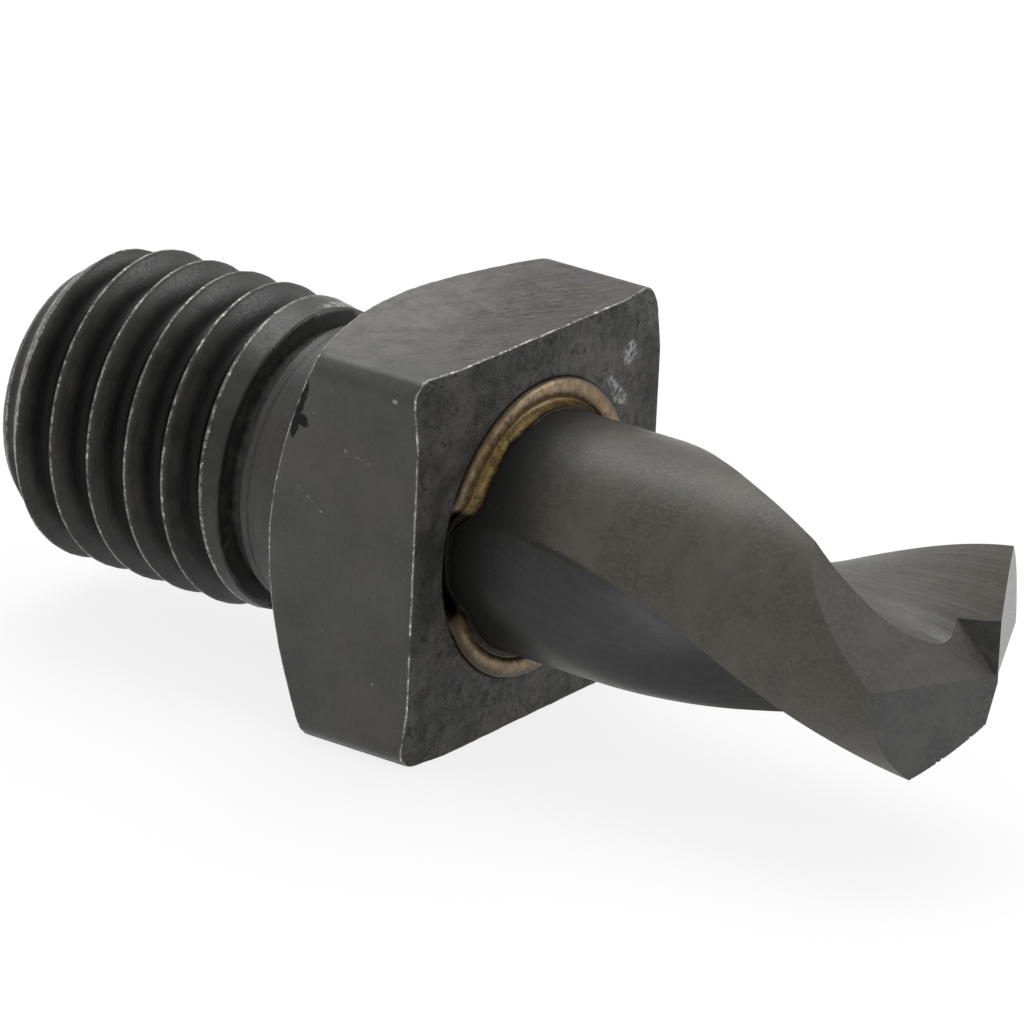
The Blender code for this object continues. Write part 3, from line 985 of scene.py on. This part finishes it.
# blackened steel with worn edges, grinding lines, brown tints, scratches and grains of dust
def oxideSteel():
    paint = Paint("blackened_steel", specular=0.5)
    s = oxideSettings
    cloud = paint.step(paint.noise(0.9, 5.0, 0.6), 0.35, 0.7)
    fine = paint.noise(13.0, 4.0, 0.65)
    paint.colour = paint.blend(cloud, s["dark"], s["light"])
    paint.cover(s["light"], paint.step(fine, 0.4, 0.7, 0.0, 0.8))
    grain = paint.framed((0, 0, 0), (0.5, 0.05, 0.12), (0, 0, s["grindTurn"]))
    brushed = paint.noise(1.0, 5.0, 0.7, 0.2, grain)
    paint.cover(s["dark"], paint.step(brushed, 0.45, 0.62, 0.0, 0.5))
    tint = paint.step(paint.noise(0.7, 4.0, 0.6, 0.3), 0.50, 0.75)
    paint.cover(s["brown"], tint, 0.5)
    cracks, stain = stainedTop(paint)
    turning = paint.noise(1.0, 2.0, 0.5, 0.0, paint.stretched((42, 0.9, 0.9)))
    turned = paint.mark("turned")
    paint.cover(s["turning"], turned, paint.step(turning, 0.42, 0.62, 0.0, 0.5))
    paint.cover(s["paleDust"], paleMarks(paint))
    nick = edgeNick(paint)
    paint.cover(s["nick"], nick)
    metal = wornEdges(paint, 0.9)
    metal = paint.most(metal, paint.times(nick, 0.8), stain)
    fineGrain = paint.framed((0, 0, 0), (1.0, 0.035, 0.07), (0, 0, s["grindTurn"]))
    height = paint.plus(
        paint.times(fine, 0.6),
        paint.times(paint.noise(1.0, 2.0, 0.5, 0.0, fineGrain), 0.3),
        paint.times(brushed, 0.6),
        paint.times(turning, turned, 1.8),
        paint.times(paint.plus(nick, cracks), -5.0),
    )
    return paint.finish(paint.step(fine, 0.3, 0.7, *s["roughness"]), metal, paint.bump(height, 0.006))


threadColours = dict(
    dark=(0.011, 0.011, 0.010),
    light=(0.028, 0.027, 0.025),
    rust=(0.045, 0.026, 0.019),
    root=(0.010, 0.010, 0.010),
)


def threadSteel():
    paint = Paint("blackened_thread", specular=0.38)
    s = threadColours
    paint.colour = paint.blend(paint.step(paint.noise(1.6, 5.0, 0.6), 0.35, 0.7), s["dark"], s["light"])
    rust = paint.step(paint.noise(2.2, 4.0, 0.65, 0.4), 0.58, 0.74)
    paint.cover(s["rust"], rust, 0.35)
    # painted shade down in the thread's grooves, made darker still by the metallic share
    root = paint.step(paint.mark("groove"), 0.30, 1.05, 0.0, 0.85)
    paint.cover(s["root"], root)
    metal = wornEdges(paint, 0.65)
    fine = paint.noise(16.0, 4.0, 0.65)
    turning = paint.noise(1.0, 2.0, 0.5, 0.0, paint.stretched((30, 1.0, 1.0)))
    normal = paint.bump(paint.plus(paint.times(fine, 0.5), paint.times(turning, 0.8)), 0.006)
    rough = paint.step(fine, 0.3, 0.7, 0.32, 0.48)
    return paint.finish(rough, paint.most(metal, root), normal)


# painted shade: the dull black laid on the relief groove, the mouth's wall and the point's upright walls,
# where shade falls
def shadeSteel():
    paint = Paint("painted_shade_steel", specular=0.4)
    grain = paint.noise(4.0, 4.0, 0.6)
    paint.colour = paint.blend(paint.step(grain, 0.35, 0.7), (0.018, 0.018, 0.018), (0.040, 0.038, 0.034))
    return paint.finish(paint.step(grain, 0.3, 0.7, 0.5, 0.7), 0.0, paint.bump(grain, 0.01))


scaleColours = dict(
    dark=(0.016, 0.016, 0.015),
    light=(0.056, 0.054, 0.049),
    rust=(0.056, 0.040, 0.031),
    pits=(0.007, 0.007, 0.007),
    fluxStain=(0.075, 0.075, 0.072),
    flux=(0.27, 0.275, 0.27),
)


# the collar's front face: scale and dull rust, cracked, with pale flux left round the mouth
def scaleSteel():
    paint = Paint("scaled_face", specular=0.32)
    s = scaleColours
    cloud = paint.step(paint.noise(1.0, 5.0, 0.62, 0.3), 0.35, 0.68)
    paint.colour = paint.blend(cloud, s["dark"], s["light"])
    rust = paint.step(paint.noise(1.4, 5.0, 0.65, 0.5), 0.52, 0.70)
    paint.cover(s["rust"], rust, 0.5)
    pits = paint.step(paint.noise(3.4, 5.0, 0.7, 0.8), 0.58, 0.68)
    cracks = paint.cracks(paint.noise(1.5, 5.0, 0.6, 0.5), 0.022)
    cracks = paint.times(cracks, paint.step(paint.noise(0.8, 2.0), 0.45, 0.62, 0.0, 0.6))
    dark = paint.most(pits, cracks)
    paint.cover(s["pits"], dark, 0.85)
    residue = paint.plus(paint.mark("residue"), paint.times(paint.noise(3.6, 6.0, 0.72, 0.5), 1.6))
    flakes = paint.times(paint.step(residue, 1.40, 1.62), paint.step(paint.noise(9.0, 3.0, 0.6), 0.3, 0.55))
    paint.cover(s["fluxStain"], paint.step(residue, 1.0, 1.6), 0.35)
    paint.cover(s["flux"], flakes, 0.9)
    metal = wornEdges(paint, 0.8)
    rough = paint.noise(5.0, 6.0, 0.68)
    height = paint.plus(rough, paint.times(flakes, 1.2), paint.times(dark, -1.0))
    return paint.finish(paint.step(rough, 0.3, 0.7, 0.42, 0.66), metal, paint.bump(height, 0.045))


# Drill steel

# grindLines says how much the grinding lines show, near the mouth and near the tip, and the flute share says
# how much painted shade the flutes take near the mouth
drillSettings = dict(
    # painted shade by the mouth, and the run over which it fades
    paintedShade=(0.012, 0.012, 0.011),
    shadeRun=(-0.8, 1.05),
    # painted shade in the flutes, and how much of it the flutes take near the mouth
    fluteShade=(0.010, 0.011, 0.013),
    fluteShadeShare=0.0,
    toneRun=(4.0, 8.0),
    grindLight=(0.085, 0.084, 0.078),
    grindLines=(0.2, 0.2),
    paleDust=(0.30, 0.30, 0.28),
)

# each surface's own values, in the order in which makeDrill takes them
drillFinishes = dict(
    drill_oxide=dict(dark=(0.030, 0.029, 0.021), light=(0.058, 0.054, 0.039), roughness=0.42,
                     specular=0.42, grindLines=(0.10, 0.5), fluteShadeShare=0.85),
    # the two flanks are the same ground steel: the near one painted darker as its shade, the far one lighter
    # as its highlight
    near_flank_shaded=dict(dark=(0.020, 0.020, 0.020), light=(0.046, 0.046, 0.044), roughness=0.34,
                     specular=0.5),
    far_flank_lit=dict(dark=(0.075, 0.075, 0.071), light=(0.14, 0.14, 0.13), roughness=0.34,
                   specular=0.6),
    drill_heel=dict(dark=(0.032, 0.029, 0.024), light=(0.058, 0.053, 0.043), roughness=0.42,
                    specular=0.45),
)


# steam-treated drill steel: mottled on the lands, with grinding lines in the flutes, and painted shade in the
# flutes, by the mouth and in a thin line behind the leading edges
def drillSteel(name):
    s = drillSettings | drillFinishes[name]
    paint = Paint(name, specular=s["specular"])
    paint.colour = paint.blend(paint.step(paint.noise(0.8, 5.0, 0.6, 0.3), 0.35, 0.68), s["dark"], s["light"])
    grain = paint.step(paint.noise(13.0, 4.0, 0.7), 0.42, 0.62, 0.0, 0.9)
    paint.cover(s["light"], grain)
    mottle = paint.step(paint.noise(3.0, 4.0, 0.65), 0.4, 0.7, 0.0, 0.4)
    paint.cover(s["dark"], mottle)
    fromMouth = paint.plus(paint.along(0), -bodyHigh.x / mm)
    land = paint.mark("land")
    ground = paint.joined("SUBTRACT", 1.0, land)
    # painted shade in the flutes, strongest near the mouth and gone towards the tip
    fluteShadeMask = paint.step(fromMouth, *s["toneRun"], s["fluteShadeShare"], 0.0)
    paint.cover(s["fluteShade"], ground, fluteShadeMask)
    untwisted = paint.add("Attribute", attribute_name="untwisted").outputs["Vector"]
    streak = paint.noise(1.0, 3.0, 0.55, 0.0, paint.stretched((9, 9, 0.25), untwisted))
    streak = paint.times(paint.step(streak, 0.38, 0.72), ground)
    streak = paint.times(streak, paint.step(fromMouth, *s["toneRun"], *s["grindLines"]))
    paint.cover(s["grindLight"], streak)
    # painted shade: near black by the mouth, reaching further along the lands, with a thin painted shadow
    # line behind the leading edges; its metallic share darkens it further
    ragged = paint.plus(fromMouth, paint.times(paint.noise(1.2), -0.9), paint.times(land, -0.75))
    near = paint.step(ragged, *s["shadeRun"], 1.0, 0.0)
    near = paint.most(near, paint.times(paint.mark("edge"), 0.8))
    paint.cover(s["paintedShade"], near)
    speck = paint.step(paint.noise(16.0, 1.0, 0.4), 0.79, 0.82)
    paint.cover(s["paleDust"], speck, 0.3)
    fine = paint.noise(20.0)
    height = paint.plus(paint.times(fine, 0.45), streak)
    rough = paint.step(fine, 0.3, 0.7, s["roughness"] - 0.05, s["roughness"] + 0.06)
    rough = paint.plus(rough, paint.times(near, 0.25))
    return paint.finish(rough, paint.times(near, 0.55), paint.bump(height, 0.006))


# Brazing bronze

bronzeColours = dict(
    bead=((0.165, 0.113, 0.061), (0.32, 0.235, 0.150)),
    golden=(0.21, 0.135, 0.048),
    ochre=((0.082, 0.052, 0.014), (0.18, 0.116, 0.035)),
    brown=(0.040, 0.026, 0.013),
    paintedHighlight=(0.32, 0.23, 0.09),
    burnt=(0.055, 0.037, 0.019),
    black=(0.010, 0.009, 0.008),
    metallic=0.65,
)


# heat-stained bronze with its light and shade painted in bands: a shaded brown rim, a tan bead that is also
# the crown's painted highlight, ochre inside it, a painted shade line, a thin painted highlight, and
# near-black painted shade on the shaded side, at the drill and over the flutes
def bronzeFiller():
    paint = Paint("bronze_filler")
    s = bronzeColours
    across = paint.plus(paint.mark("across"), paint.times(paint.plus(paint.noise(2.6), -0.5), 0.10))
    shadedSide = paint.mark("shadedSide")
    grain = paint.noise(9.0, 4.0, 0.7)
    grainy = paint.step(grain, 0.35, 0.65)
    golden = paint.step(paint.noise(1.1, 3.0, 0.6), 0.42, 0.60)
    # the bead's tan, which is also the crown's painted highlight
    bead = paint.blend(paint.times(golden, 0.7), paint.blend(grainy, *s["bead"]), s["golden"])
    # painted shade: the brown rim at the outer edge, wider on the shaded side
    rim = paint.plus(across, paint.times(shadedSide, -0.12))
    paint.colour = s["brown"]
    paint.cover(bead, paint.step(rim, 0.03, 0.24))
    paint.cover(paint.blend(grainy, *s["ochre"]), paint.step(rim, 0.28, 0.46))
    # a painted shade line where the bead turns into the climbing part
    fold = paint.times(paint.step(across, 0.56, 0.62), paint.step(across, 0.64, 0.72, 1.0, 0.0))
    paint.cover(s["brown"], fold, 0.2)
    # a thin painted highlight near the drill's side
    paintedHighlight = paint.times(paint.step(across, 0.80, 0.86), paint.step(across, 0.88, 0.93, 1.0, 0.0))
    paintedHighlight = paint.times(paintedHighlight, paint.step(paint.noise(3.0, 4.0, 0.7), 0.42, 0.6))
    paint.cover(s["paintedHighlight"], paintedHighlight, 0.5)
    burnt = paint.step(paint.noise(3.2, 6.0, 0.78), 0.46, 0.60)
    paint.cover(s["burnt"], burnt, paint.step(across, 0.60, 0.90, 0.5, 0.9))
    # near-black painted shade: inside on the shaded side, at the drill and over the flutes, made darker still
    # by the metallic share
    black = paint.most(
        paint.times(paint.step(across, 0.58, 0.72), shadedSide),
        paint.step(across, 0.93, 0.98),
        paint.step(paint.mark("dip"), 0.05, 0.4),
    )
    paint.cover(s["black"], black)
    rough = paint.step(grain, 0.3, 0.7, 0.26, 0.42)
    return paint.finish(rough, paint.most(black, s["metallic"]), paint.bump(grain, 0.006))


# Stage

# lights: name, place in metres, size, power; all of them point at the middle of the frame
stageSettings = dict(
    floorSize=1.2,
    floorGap=0.00002,
    floorColour=(0.82, 0.82, 0.82),
    backgroundShare=0.82,
    worldStrength=0.85,
    lights=(
        ("softbox", (-0.10, 0.15, 0.40), 0.35, 1.05),
        ("tipLight", (0.26, 0.30, 0.16), 0.18, 0.35),
    ),
)

cameraSettings = dict(
    azimuth=radians(35.299),
    elevation=radians(21.0505),
    roll=radians(2.6703),
    distance=164.0415,
    target=(1.3137, -0.1921, 4.1228),
    lens=8680.02 * 36 / 1024,  # focal length in pixels times the sensor's width over the picture's
    sensor=36,
    clip=(0.001, 10),
)


def makeCamera():
    s = cameraSettings
    data = bpy.data.cameras.new("camera")
    data.lens = s["lens"]
    data.sensor_width = s["sensor"]
    data.clip_start, data.clip_end = s["clip"]
    camera = addObject("camera", data)
    turn = Matrix.Rotation(s["azimuth"], 4, "Z") @ Matrix.Rotation(pi / 2 - s["elevation"], 4, "X")
    turn = turn @ Matrix.Rotation(s["roll"], 4, "Z")
    aim = Matrix.Translation(Vector(s["target"]) * mm)
    camera.matrix_world = aim @ turn @ Matrix.Translation((0, 0, s["distance"] * mm))
    bpy.context.scene.camera = camera


# a white floor that keeps a soft shadow and shows white in the picture and in the gloss
def makeFloor():
    s = stageSettings
    paint = Paint("floor_white", roughness=0.9, specular=0.0)
    paint.shader.inputs["Base Color"].default_value = (*s["floorColour"], 1)
    ray = paint.add("LightPath")
    kinds = ("Is Camera Ray", "Is Glossy Ray", "Is Transmission Ray")
    seen = paint.most(*(ray.outputs[kind] for kind in kinds))
    white = paint.add("Emission")
    parts = {0: paint.times(seen, s["backgroundShare"]), 1: paint.shader.outputs[0], 2: white.outputs[0]}
    mix = paint.add("MixShader", parts)
    paint.feed(paint.tree.nodes["Material Output"].inputs["Surface"], mix.outputs[0])
    shape = bmesh.new()
    bmesh.ops.create_grid(shape, x_segments=1, y_segments=1, size=s["floorSize"] / 2)
    floor = addObject("floor", meshFrom(shape, "floor", paint.material))
    floor.location.z = bodyLow.z - s["floorGap"]


def makeLights():
    s = stageSettings
    world = bpy.data.worlds.new("studio")
    bpy.context.scene.world = world
    world.use_nodes = True
    sky = world.node_tree.nodes["Background"]
    sky.inputs["Color"].default_value = (1, 1, 1, 1)
    sky.inputs["Strength"].default_value = s["worldStrength"]
    for name, spot, size, power in s["lights"]:
        data = bpy.data.lights.new(name, "AREA")
        data.shape = "DISK"
        data.size = size
        data.energy = power
        lamp = addObject(name, data)
        lamp.location = spot
        lamp.rotation_euler = (-Vector(spot)).to_track_quat("-Z", "Y").to_euler()


bpy.context.scene.view_settings.view_transform = "Standard"
paintedShade = shadeSteel()
thread = makeThread([threadSteel(), paintedShade])
paintMarked(thread, "deep", 1)
print("thread ready:", len(thread.data.polygons), "faces")
collar = makeCollar([oxideSteel(), scaleSteel(), paintedShade])
paintMarked(collar, "front", 1)
paintMarked(collar, "deep", 2)
print("collar ready:", len(collar.data.polygons), "faces")
drill = makeDrill([drillSteel(name) for name in drillFinishes] + [paintedShade])
print("drill ready:", len(drill.data.polygons), "faces")
braze = makeBraze(bronzeFiller())
print("filler ready:", len(braze.data.polygons), "faces")

for piece, node, slotName in (
    (thread, "shank_body", "shank_steel"),
    (collar, "shank_body", "shank_steel"),
    (drill, "drill", "drill_steel"),
    (braze, "braze_ring", "bronze_filler"),
):
    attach(piece, "root")
    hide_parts(node)

makeCamera()
makeFloor()
makeLights()
print("stage ready")
